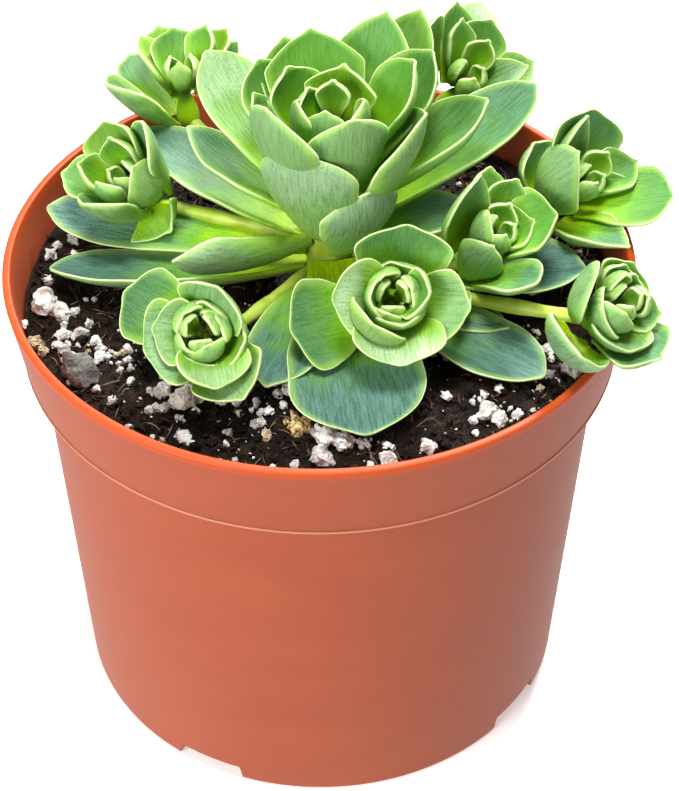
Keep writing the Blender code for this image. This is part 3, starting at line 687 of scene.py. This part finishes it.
CROWN_LEAVES = {
    "leaf_mid_front_small": Leaf(302, 65, 17.5, 15, 35, 2, 3, 0.1),
    "leaf_mid_front": Leaf(250, 70, 22, 17, 30, 2, 6, 0),
    "leaf_top_front_right": Leaf(344, 62, 25, 18, 50, 2, 8, 0.6),
    "leaf_top_front": Leaf(292, 72, 20, 15, 45, 2, 13, 0.2),
    "leaf_top_front_left": Leaf(220, 68, 24.5, 17, 45, 2, 11, 0.5),
    "leaf_folded": Leaf(205, 8, 23.5, 10, 60, 2, 4, 0.3, 65),
    "leaf_top_back_inner": Leaf(72, 66, 11.5, 13, 45, 2, 21, 0.6),
    "leaf_top_left_inner": Leaf(134, 60, 13, 12, 45, 2, 20, 0.05),
    "leaf_top_right_inner": Leaf(21, 56, 20, 13, 60, 2, 17, 0.1),
    "leaf_top_right": Leaf(33, 48, 24, 14, 50, 2, 14, 0.1),
    "leaf_mid_right_upper": Leaf(18, 32, 27, 13, 65, 2, 10, 0.3),
    "leaf_mid_right": Leaf(29, 22, 37.5, 15, 30, 2, 6, 0.1, -5),
    "leaf_top_back": Leaf(101, 52, 21, 17, 30, 2, 16, 0.5),
    "leaf_top_back_right": Leaf(64, 48, 26.5, 14, 30, 2, 14, 0.5),
    "leaf_top_left": Leaf(133, 46, 19.5, 13, 30, 2, 15, 0.05),
    "leaf_mid_back_left": Leaf(137, 36, 29.5, 14, 35, 2, 9, 0.1),
    "leaf_mid_left": Leaf(150, 20, 24.5, 9, 35, 2, 7, 0.3),
    "leaf_mid_slim": Leaf(146, 50, 17.5, 7, 50, 2, 12, 0.1),
    "leaf_low_left": Leaf(164, -3, 45.5, 10.5, 25, 1, 1, 0.1, -25),
    "leaf_low_left_front": Leaf(182, 0, 41.5, 16, 35, 2.5, -2, 0.1, 20),
    "leaf_low_front_right": Leaf(323, -4, 38, 14, 25, 1, -2, 0.1),
    "leaf_low_right": Leaf(353, 1, 37.5, 16, 30, 1.5, 0, 0.1),
    "leaf_low_front": Leaf(278, -6, 37, 22, 25, 1, 1, 0),
    "leaf_low_front_left": Leaf(253, -2, 29, 13, 30, 1, 0, 0.3),
    "leaf_low_back_left": Leaf(146, 12, 33.5, 13, 30, 2, 3, 0.3),
    "leaf_top_back_left": Leaf(114, 46, 21.5, 12, 30, 2, 15, 0.3),
    "leaf_top_right_outer": Leaf(56, 40, 30, 12, 30, 2, 13, 0.3),
    "leaf_low_right_back": Leaf(9, 10, 19, 11, 20, 1, 4, 0.3),
    "leaf_withered": Leaf(333, -4, 28, 8, 20, 1, -1.8, 0.3),
}
HEART_LEAVES = [
    Leaf(135, 74, 7, 8, 60, 1, 23, 0.3),
    Leaf(193, 74, 8.5, 8, 60, 1, 22, 0.3),
    Leaf(346, 72, 9, 8, 60, 1, 22, 0.3),
    Leaf(260, 84, 8, 7, 60, 1, 22, 0.3),
    Leaf(80, 82, 7, 6, 60, 1, 24, 0.3),
]
Rosette = namedtuple("Rosette", "place turn lean leaves")
# place of the root from the pot's axis and the rim's plane in mm; turn and lean of the axis in degrees
ROSETTES = {
    "front": Rosette((11, -15.5, 1.5), 276, 40, [
        Leaf(81, 48, 12, 16.5, 40, 0, 2, 0.1, 10),
        Leaf(352, 45, 12.5, 12.5, 45, -0.5, 2.5, 0.3, 5),
        Leaf(199, 25, 14.5, 15, 25, 0.5, 1, 0, -5),
        Leaf(277, 49, 12.5, 15.5, 35, -1.5, 2.5, 0, -5, 0.7),
        Leaf(186, 52, 11, 14, 55, -2, 3, 0.2, -15, 0.7),
        Leaf(237, 72, 11.5, 12, 65, 2, 3, 0.1, -5),
        Leaf(98, 66, 6.5, 12.5, 65, 0, 4, 0.1, 5),
        Leaf(0, 72, 8.5, 9.5, 65, 0, 4.5, 0.1, -10),
        Leaf(288, 72, 8, 9, 60, 0, 4.5, 0.2, -5),
        Leaf(195, 78, 7.5, 7, 65, 0, 5, 0.2, -10),
        Leaf(120, 80, 6, 6, 60, 1, 5.5, 0.4),
        Leaf(250, 80, 6, 6, 60, 1, 5.5, 0.4),
        Leaf(20, 82, 5.5, 6, 60, 1, 6, 0.4),
    ]),
    "front_left": Rosette((-16.5, -22.5, 0.5), 255, 40, [
        Leaf(148, 28, 12.5, 13, 30, 0.5, 0, 0.1),
        Leaf(194, 47, 9, 15.5, 50, -1, 1.5, 0, 0, 0.7),
        Leaf(172, 52, 7.5, 12, 60, -1, 3, 0.2, -10, 0.7),
        Leaf(57, 68, 10.5, 13, 40, -0.5, 2, 0.05, -5),
        Leaf(285, 50, 10.5, 13, 55, -1, 2.5, 0.1, -20, 0.7),
        Leaf(299, 42, 12.5, 13.5, 45, -0.5, 0.5, 0.5, 0, 0.65),
        Leaf(80, 72, 5.5, 9.5, 70, 0, 4, 0.2, -5),
        Leaf(238, 71, 5.5, 9.5, 70, 0.5, 3.5, 0.2, -15),
        Leaf(344, 56, 7.5, 9, 55, 0, 2.5, 0.2, 10),
        Leaf(232, 78, 5, 7.5, 70, 0.5, 4.5, 0.2, -5),
        Leaf(25, 80, 4.5, 7, 70, 0.5, 5, 0.2, 10),
        Leaf(130, 80, 5, 6, 60, 1, 5.5, 0.4),
        Leaf(290, 82, 4.5, 6, 60, 1, 5.5, 0.4),
    ]),
    "left": Rosette((-28, 12, 2), 200, 38, [
        Leaf(86, 62, 11, 14, 45, 0, 3, 0.1, -20),
        Leaf(156, 43, 12, 9, 45, 0, 2, 0.1),
        Leaf(241, 66, 13, 12, 55, 1, 1, 0.4, -10),
        Leaf(288, -34, 5, 13.5, 60, 1, 1.5, 0.4, 20, 0.5),
        Leaf(12, 66, 15, 10, 55, 0, 0, 0.2, 10, 0.7),
        Leaf(325, 72, 9.5, 10, 55, 1, 2, 0.5, 0, 0.5),
        Leaf(67, 80, 9, 8, 55, 0, 4, 0.6),
        Leaf(171, 80, 10, 7.5, 55, 0.5, 4, 0.4),
        Leaf(230, 80, 7, 7, 60, 1, 4.5, 0.4),
    ]),
    "right": Rosette((25, -3.5, 1), 340, 30, [
        Leaf(163, 72, 16.5, 11, 35, 1, 0, 0.6, -30, 0.5),
        Leaf(85, 59, 11, 8, 50, 0.5, 3, 0.2),
        Leaf(14, 70, 12, 14.5, 50, 0, 3.5, 0.3, -10),
        Leaf(28, 70, 7.5, 10, 60, 0, 4, 0.6, -15),
        Leaf(85, 74, 6, 6, 60, 0.5, 5, 0.5, -10),
        Leaf(190, 82, 7, 7, 60, 0.5, 4, 0.2),
        Leaf(247, 76, 10, 9, 50, 0.5, 0, 0.4, 0, 0.55),
        Leaf(287, 55, 16.5, 9.5, 45, 0, -0.5, 0.1, 40),
        Leaf(111, 52, 12, 7, 40, 0, 2, 0.1),
        Leaf(255, 20, 13, 4, 50, 0, -2, 0.5, 20, 0.5),
    ]),
    "far_right": Rosette((39, 10.5, 2), 345, 42, [
        Leaf(117, 62, 14.5, 17.5, 35, 0, 1, 0),
        Leaf(142, 70, 15.5, 11, 45, 0.5, 0, 0.6, -5, 0.5),
        Leaf(205, 66, 16, 14, 55, 1.5, 0, 0.6, 0, 0.5),
        Leaf(13, 54, 12.5, 9.5, 60, 0, 1.5, 0.8, 5, 0.55),
        Leaf(42, 51, 11.5, 9, 60, 0, 3, 0.5, -10),
        Leaf(80, 75, 7, 6, 60, 0.5, 5, 0.3),
        Leaf(352, 58, 16, 15.5, 30, 0.5, 2.5, 0.1),
        Leaf(292, 48, 16.5, 11, 45, 0, -0.5, 0.7, 30, 0.5),
        Leaf(158, 37, 8.5, 12, 30, 1, 0, 0.1, -10),
    ]),
    "front_right": Rosette((43, -18.5, 2), 325, 42, [
        Leaf(238, 44, 17, 14, 60, 2, -2, 0.3, 10, 0.5),
        Leaf(180, 65, 11.5, 11, 30, 1, 0.5, 0.2, -10, 0.6),
        Leaf(79, 51, 7, 10, 45, 0, 2, 0.2),
        Leaf(96, 59, 6, 7, 55, 0, 3, 0.1),
        Leaf(82, 72, 5.5, 8, 65, 0, 4, 0.1, 5),
        Leaf(225, 62, 6.5, 9.5, 65, 0, 2.5, 0.1, -15),
        Leaf(250, 78, 6, 7, 60, 1, 4, 0.1),
        Leaf(130, 80, 5.5, 5.5, 60, 0.5, 5, 0.2),
        Leaf(3, 53, 7, 8, 50, 0, 2.5, 0.4),
        Leaf(283, 50, 8, 12, 45, -0.5, 1.5, 0, 5, 0.7),
        Leaf(314, 50, 11, 14, 40, 0.5, 0, 0.2, 5),
        Leaf(20, 80, 5, 5.5, 60, 1, 5, 0.4),
    ]),
    "back_right": Rosette((21.5, 29.5, 9), 330, 30, [
        Leaf(178, 60, 16, 14, 30, 1, 1, 0.05, -10),
        Leaf(15, 66, 13.5, 8, 55, -1, 0.5, 0.4, 0, 0.6),
        Leaf(35, 30, 13.5, 7.5, 40, 0, 1.5, 0.2),
        Leaf(81, 53, 11.5, 9.5, 50, 0, 3.5, 0.2),
        Leaf(116, 52, 10, 6, 55, 0, 4.5, 0.6),
        Leaf(76, 69, 8, 6, 60, 0.5, 5, 0.4, -5),
        Leaf(112, 44, 13.5, 8, 45, 0, 2.5, 0.6),
        Leaf(83, 20, 16, 8, 40, -1.5, 2, 0.2),
    ]),
    "back_left": Rosette((-22.5, 27.5, 8), 120, 12, [
        Leaf(136, 40, 13, 13.5, 40, 0, -0.5, 0.1, 5),
        Leaf(222, 45, 16.5, 10.5, 60, 0.5, 0, 0.3, -10),
        Leaf(100, 63, 10.5, 9.5, 50, 0, 3.5, 0.1, -5),
        Leaf(112, 47, 12.5, 10, 45, 0, 3, 0.3),
        Leaf(136, 49, 11, 5, 45, 0, 4, 0.2),
        Leaf(45, 63, 9.5, 7.5, 50, 0.5, 5.5, 0.3),
        Leaf(38, 45, 10.5, 8, 40, 0, 5, 0.1),
        Leaf(33, 42, 11, 10, 40, 0, 2.5, 0.2),
    ]),
}

# Runners: height where they leave the stem, from the rim's plane, and how far they sag on the way, in mm
RUNNERS = {
    "left": (3.0, 0.6),
    "front_left": (-0.5, 0.5),
    "front": (-1.5, 0.3),
    "right": (-2.5, 0.3),
    "far_right": (-1.0, 1.0),
    "front_right": (-3.5, 0.6),
    "back_left": (2.0, 0.6),
    "back_right": (4.0, 0.6),
}
# The crown's root from the pot's axis and the rim's plane, in mm
CROWN_PLACE = (1.7, 0.5, 0.0)
young_leaves = sum(len(plan.leaves) for plan in ROSETTES.values())
print("leaves:", len(CROWN_LEAVES) + len(HEART_LEAVES) + young_leaves)

# %% [markdown]
# ## The form of one leaf
# An aeonium leaf is a spoon: a thick narrow root, a blade that is widest near its end, and a blunt tip
# with a tiny point. It is thickest along the middle and thins to a sharp margin. A ball is the easiest
# start, as its rings become the leaf's cross-sections and its two poles the root and the tip. Each corner
# of the ball then remembers where on the blade it lies, for the colours to use.

# %% A leaf from a ball
NECK = 0.38
THICKNESS = 1.6
BLADE_MARKS = ("share", "margin", "under", "blade_x", "blade_y", "tone", "age", "wax_and_sheen")


def blade_width(leaf, share):
    """Width of a leaf at a share of its length, as a share of its widest."""
    if share < leaf.widest:
        return NECK + (1 - NECK) * math.sin(math.pi / 2 * share / leaf.widest) ** 1.3
    end = min((share - leaf.widest) / (1 - leaf.widest), 1)
    return (1 - leaf.point) * math.sqrt(1 - end * end) + leaf.point * (1 - end) ** 0.9


def leaning(turn, lean):
    """Turns the vertical towards the given direction by the given lean, in degrees."""
    heading = math.radians(turn)
    return Matrix.Rotation(math.radians(lean), 3, Vector((-math.sin(heading), math.cos(heading), 0)))


def leaf_form(leaf, reach, lean, place, grid, seed, age, wax_and_sheen=0.0):
    """One leaf in millimetres, with its blade marks. Its root is as far from the axis as the reach."""
    tone = random.Random(seed).random()
    climb = math.radians(leaf.rise)
    outward = Vector((math.cos(math.radians(leaf.turn)), math.sin(math.radians(leaf.turn)), 0))
    along = outward * math.cos(climb) + UP * math.sin(climb)
    face = UP * math.cos(climb) - outward * math.sin(climb)
    root = outward * reach + UP * leaf.height
    form = bmesh.new()
    marks = {name: form.verts.layers.float.new(name) for name in BLADE_MARKS}
    bmesh.ops.create_uvsphere(form, u_segments=grid[0], v_segments=grid[1], radius=1)
    for vert in form.verts:
        # the corner's place on the ball says where it lies along, across and through the leaf
        share = (1 - vert.co.z) / 2
        ring = math.hypot(vert.co.x, vert.co.y)
        across = vert.co.x / ring if ring > 0.001 else 0.0
        through = vert.co.y / ring if ring > 0.001 else 0.0
        # the midrib's direction here, and the blade's own up and side
        slope = (along * leaf.length - face * (leaf.curl * 4 * (1 - 2 * share))).normalized()
        up = (face - slope * face.dot(slope)).normalized()
        up = Matrix.Rotation(math.radians(leaf.roll), 3, slope) @ up
        side = up.cross(slope)
        # the blade's upper skin is an arc across the midrib
        full = blade_width(leaf, share) if ring > 0.001 else 0.0
        bend = math.radians(leaf.cup) * (0.55 + 0.45 * math.sin(math.pi * (share * 0.9 + 0.1)))
        ripple = 1 + 0.05 * noise.noise(Vector((share * 5, across, seed * 3.1)))
        half = 0.5 * leaf.width * full * ripple
        radius = half / bend
        point = 0.7 * max((share - 0.94) / 0.06, 0) ** 9
        middle = root + along * (leaf.length * share + point) - face * (leaf.curl * 4 * share * (1 - share))
        skin = side * (radius * math.sin(bend * across)) + up * (radius * (1 - math.cos(bend * across)))
        normal = up * math.cos(bend * across) - side * math.sin(bend * across)
        # nearly all of the flesh is below the upper skin
        plump = math.sqrt(max(1 - abs(across) ** 2.6, 0))
        if through > 0:
            depth = THICKNESS * (0.30 + 0.70 * full) * (1.15 - 0.45 * share) * plump
        else:
            depth = -0.12 * plump
        blade_x, blade_y = half * across, leaf.length * share
        wave = 0.30 * noise.noise(Vector((blade_x, blade_y, seed * 1.7)) * 0.16) * min(share * 3, 1)
        vert.co = middle + skin - normal * (depth - wave)
        margin = half * (1 - abs(across))
        values = (share, margin, max(through, 0), blade_x, blade_y, tone, age, wax_and_sheen)
        for name, value in zip(BLADE_MARKS, values):
            vert[marks[name]] = value
    if form.calc_volume(signed=True) < 0:
        bmesh.ops.reverse_faces(form, faces=form.faces)
    bmesh.ops.transform(form, matrix=lean.to_4x4(), verts=form.verts)
    bmesh.ops.translate(form, verts=form.verts, vec=Vector(place) + UP * RIM)
    return form


# %% [markdown]
# ## Leaf skin
# Young tissue at the root is a bright yellow-green, and it is painted brighter still: painted light for the
# glow of light passing through it. The blade is a clear green, and the ends of the older leaves turn a
# powdery blue-green where a waxen bloom lies on them. The margin is a thin pale line, since the skin there
# has no green in it, and a soft lighter band runs inside it where the blade is thin. Fine wrinkles follow
# the length of the blade. Under the blade the same colours are greyer. Tips that flare out are painted
# nearly white: partly their waxen bloom, partly a painted highlight where they face the lamps. Low on the
# youngest leaves, in the heart of a rosette, the green is painted dark: painted shade, as little light gets
# in. Light goes a millimetre or two into the flesh, which the shader's subsurface setting stands for.

# %% Leaf
leaf_finish, paint, sockets = new_material("aeonium_leaf", {
    "Specular IOR Level": 0.28, "Subsurface Weight": 0.12, "Subsurface Radius": (0.0016, 0.0026, 0.0005),
    "Subsurface Scale": 1.0})
share, margin, under = (paint.attribute(name) for name in ("share", "margin", "under"))
tone, age, wax_and_sheen = (paint.attribute(name) for name in ("tone", "age", "wax_and_sheen"))
across, along = paint.attribute("blade_x"), paint.attribute("blade_y")
blade = paint.node("CombineXYZ", {}, {0: across, 1: along, 2: tone * 90})
drawn_out = paint.node("Mapping", {}, {"Vector": blade, "Scale": (2.6, 0.30, 1)})
streaks = paint.noise(drawn_out, 1.0, 4, 0.6)
clouds = paint.noise(blade, 0.22, 3)
pores = paint.noise(blade, 4.0, 3, 0.6)
place = share + (clouds - 0.5) * 0.5 + (streaks - 0.5) * 0.25
# The bright yellow root is partly the tissue's own colour, partly painted light for the glow through it.
root_yellow_and_glow = place.step(0.0, 0.45).tint(colour(178, 212, 6), colour(118, 176, 6))
green = place.step(0.35, 0.95).tint(root_yellow_and_glow, colour(84, 142, 28))
bloom = (pores * 0.5 + streaks * 0.5).step(0.3, 0.7).tint(colour(62, 104, 88), colour(106, 142, 134))
blue = (place.step(0.30, 0.85) * age ** 2).tint(green, bloom)
sunny = (tone.step(0.35, 1.0) * (1 - age) * 0.8).tint(blue, colour(140, 180, 16))
below = (under * 0.55).tint(sunny, colour(140, 172, 116))
speck = (streaks * 0.6 + pores * 0.4).step(0.34, 0.58)
veined = speck.tint((age * 0.25 + 0.25).tint(below, colour(40, 84, 18)), below)
# Pale flaring ends: partly waxen bloom, partly a painted highlight where they face the lamps.
wax_and_sheen_mask = wax_and_sheen * place.step(0.45, 0.90) * (streaks * 0.5 + pores * 0.5).step(0.2, 0.6)
with_wax_and_sheen = (wax_and_sheen_mask * 0.75).tint(veined, colour(184, 212, 168))
# Painted shade: the roots of the youngest leaves, in the heart of a rosette, are darkened.
painted_heart_shade = age.step(0.50, 0.32) * share.step(0.55, 0.15) * 0.8
with_heart_shade = painted_heart_shade.tint(with_wax_and_sheen, colour(28, 56, 6))
thin = margin.step(1.8, 0.3) * share.step(0.15, 0.5) * 0.45
edged = thin.tint(with_heart_shade, colour(166, 206, 92))
edge = margin.step(0.32, 0.05) * share.step(0.2, 0.55)
join((edge * 0.7).tint(edged, colour(222, 236, 178)), sockets["Base Color"])
join(pores * 0.25 + clouds * 0.12 + 0.30, sockets["Roughness"])
join(bump(pores * 0.4 + streaks, 0.00022, 0.7), sockets["Normal"])

# %% [markdown]
# ## The crown
# Each big leaf is a piece of its own, set where the plain model has it. The five leaves that are still
# folded together at the growing point are one piece with the tip of the stem.

# %% Crown leaves
FINE = (40, 42)
SMALL = (28, 26)
# How strongly each leaf's flaring end goes pale: partly waxen bloom, partly a painted highlight.
WAX_AND_SHEEN_LEAVES = {
    "leaf_folded": 1.0,
    "leaf_mid_back_left": 0.8,
    "leaf_mid_front": 0.4,
    "leaf_mid_front_small": 0.3,
}
CROWN_REACH = 3.8
CROWN_TAPER = 0.06
STEM_TIP_HEIGHT = 22.5
STEM_TIP_SIZE = (1.8, 1.8, 3.0)


def crown_leaf(leaf, grid, seed, age, wax_and_sheen=0.0):
    """A leaf of the crown. The stem that it grows from tapers."""
    reach = CROWN_REACH - CROWN_TAPER * leaf.height
    return leaf_form(leaf, reach, leaning(0, 0), CROWN_PLACE, grid, seed, age, wax_and_sheen)


faces = 0
for number, (name, leaf) in enumerate(CROWN_LEAVES.items()):
    age = min(1, max(0.25, 1.05 - leaf.height / 24))
    form = crown_leaf(leaf, FINE, number, age, WAX_AND_SHEEN_LEAVES.get(name, 0.0))
    made = finish_piece(f"{name}_blade", form, leaf_finish, name, slot="leaf", smooth=180)
    faces += len(made.data.polygons)
heart = [crown_leaf(leaf, SMALL, 60 + number, 0.3) for number, leaf in enumerate(HEART_LEAVES)]
tip = bmesh.new()
bmesh.ops.create_uvsphere(tip, u_segments=24, v_segments=16, radius=1)
bmesh.ops.scale(tip, verts=tip.verts, vec=STEM_TIP_SIZE)
bmesh.ops.translate(tip, verts=tip.verts, vec=Vector(CROWN_PLACE) + UP * (RIM + STEM_TIP_HEIGHT))
whole = gather([*heart, tip])
made = finish_piece("heart_leaves", whole, leaf_finish, "crown_heart", slot="leaf", smooth=180)
print("crown:", faces + len(made.data.polygons), "faces")

# %% [markdown]
# ## The young rosettes
# A young rosette is the crown in small: stubby cupped leaves packed round a cone, the outer ones open and
# the inner ones shut, with three leaves at the growing point that have hardly parted. Each is one piece,
# leaning out on its runner towards the light it can find.

# %% Offset rosettes
YOUNG_REACH = 3.2
YOUNG_TAPER = 0.2
BUD_LEAVES = 3
BUD_REACH = 0.9
CORE_RADIUS = 2.5


def core_form(top):
    """The short stem in a rosette, upright: broad and pale at its foot, narrow at the top, which is painted
    dark as shade among the leaves.
    """
    form = bmesh.new()
    marks = {mark: form.verts.layers.float.new(mark) for mark in BLADE_MARKS}
    bmesh.ops.create_uvsphere(form, u_segments=20, v_segments=14, radius=1)
    for vert in form.verts:
        vert[marks["share"]] = 0.2
        vert[marks["margin"]] = 3.0
        # A low age at the top makes the leaf skin darken it: painted shade.
        vert[marks["age"]] = 0.6 - 0.3 * vert.co.z
        ring = vert.co.xy.length
        if ring > 0.001:
            vert.co.xy *= (0.72 - 0.28 * vert.co.z) / math.sqrt(ring)
    bmesh.ops.scale(form, verts=form.verts, vec=(CORE_RADIUS, CORE_RADIUS, top * 0.4 + 1.0))
    bmesh.ops.translate(form, verts=form.verts, vec=(0, 0, top * 0.3))
    return form


faces = 0
for number, (name, plan) in enumerate(ROSETTES.items()):
    lean = leaning(plan.turn, plan.lean)
    top = max(leaf.height for leaf in plan.leaves)
    forms = []
    for index, leaf in enumerate(plan.leaves):
        reach = YOUNG_REACH - YOUNG_TAPER * leaf.height
        age = 0.75 - 0.5 * leaf.height / top
        # Leaves that curl outward get pale ends: partly waxen bloom, partly a painted highlight.
        wax_and_sheen = min(1, max(0, -leaf.curl / 1.5))
        forms.append(leaf_form(leaf, reach, lean, plan.place, SMALL, 100 + 20 * number + index, age, wax_and_sheen))
    for index in range(BUD_LEAVES):
        bud = Leaf(30 + 360 / BUD_LEAVES * index, 80, 5.0, 3.8, 60, 0.8, top, 0.3)
        forms.append(leaf_form(bud, BUD_REACH, lean, plan.place, SMALL, 900 + 3 * number + index, 0.3))
    core = core_form(top)
    bmesh.ops.transform(core, verts=core.verts, matrix=lean.to_4x4())
    bmesh.ops.translate(core, verts=core.verts, vec=Vector(plan.place) + UP * RIM)
    whole = gather([*forms, core])
    made = finish_piece(f"rosette_{name}", whole, leaf_finish, f"offset_{name}", slot="leaf", smooth=180)
    faces += len(made.data.polygons)
print("rosettes:", faces, "faces")

# %% [markdown]
# ## Stem and runners
# The crown stands on a stub of stem, and each young rosette hangs on a runner as thick as a matchstick.
# The drawn-out ball that made the fibres makes these too, with more sides. A runner bows a little on its
# way, as its rosette is the heaviest part of it. The stem is hidden but for glimpses between the leaves.
# Runners are paler and yellower than any leaf, smooth, with a faint length-wise grain.

# %% Stem and runners
def bowed(start, end, sag, steps):
    """Points from start to end with a bow, in millimetres from the pot's axis and the rim's plane."""
    points = []
    for index in range(steps + 1):
        share = index / steps
        point = start.lerp(end, share)
        point.z += RIM - sag * 4 * share * (1 - share)
        points.append(point)
    return points


stem_finish, paint, sockets = new_material("green_stem", {
    "Specular IOR Level": 0.4, "Subsurface Weight": 0.15, "Subsurface Radius": (0.0020, 0.0025, 0.0008),
    "Subsurface Scale": 1.0})
clouds = paint.noise(paint.stretched((1, 1, 1)), 300, 3)
join(clouds.step(0.3, 0.7).tint(colour(150, 172, 44), colour(182, 200, 84)), sockets["Base Color"])
join(clouds * 0.2 + 0.35, sockets["Roughness"])
join(bump(clouds, 0.0001, 0.5), sockets["Normal"])
STEPS = 24
STEM_RADIUS = 3.9
STEM_TAPER = 1.6
RUNNER_RADIUS = 1.15
stem_low, stem_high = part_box("main_stem")
foot = Vector((*CROWN_PLACE[:2], stem_low.z / MM))
head = Vector((*CROWN_PLACE[:2], stem_high.z / MM))
stem_points = [foot.lerp(head, index / STEPS) for index in range(STEPS + 1)]
stem_radii = [STEM_RADIUS - STEM_TAPER * index / STEPS + 0.15 * math.sin(index * 2.1)
              for index in range(STEPS + 1)]
stem_form = bmesh.new()
add_tube(stem_form, stem_points, stem_radii, sides=24, rough=0.08)
finish_piece("stem_core", stem_form, stem_finish, "main_stem", slot="stem")
for number, (name, (height, sag)) in enumerate(RUNNERS.items()):
    plan = ROSETTES[name]
    start = Vector((*CROWN_PLACE[:2], height))
    end = Vector(plan.place) + leaning(plan.turn, plan.lean) @ Vector((0, 0, -0.5))
    points = bowed(start, end, sag, STEPS)
    radii = [RUNNER_RADIUS + 0.12 * math.sin(index * 0.9 + number) for index in range(STEPS + 1)]
    form = bmesh.new()
    add_tube(form, points, radii, sides=14, seed=number, rough=0.1)
    finish_piece(f"runner_{name}_tube", form, stem_finish, f"runner_{name}", slot="stem")
print("stem and", len(RUNNERS), "runners")

# %% [markdown]
# ## Sizes
# The plain model's box and the dressed one's are written down together, so that it is easy to see that
# nothing has grown past where it should be.

# %% Write the sizes and finish
full_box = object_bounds()
for label, (low, high) in (("plain", plain_box), ("dressed", full_box)):
    print(label, [round((b - a) * 1000, 1) for a, b in zip(low, high)], "mm")
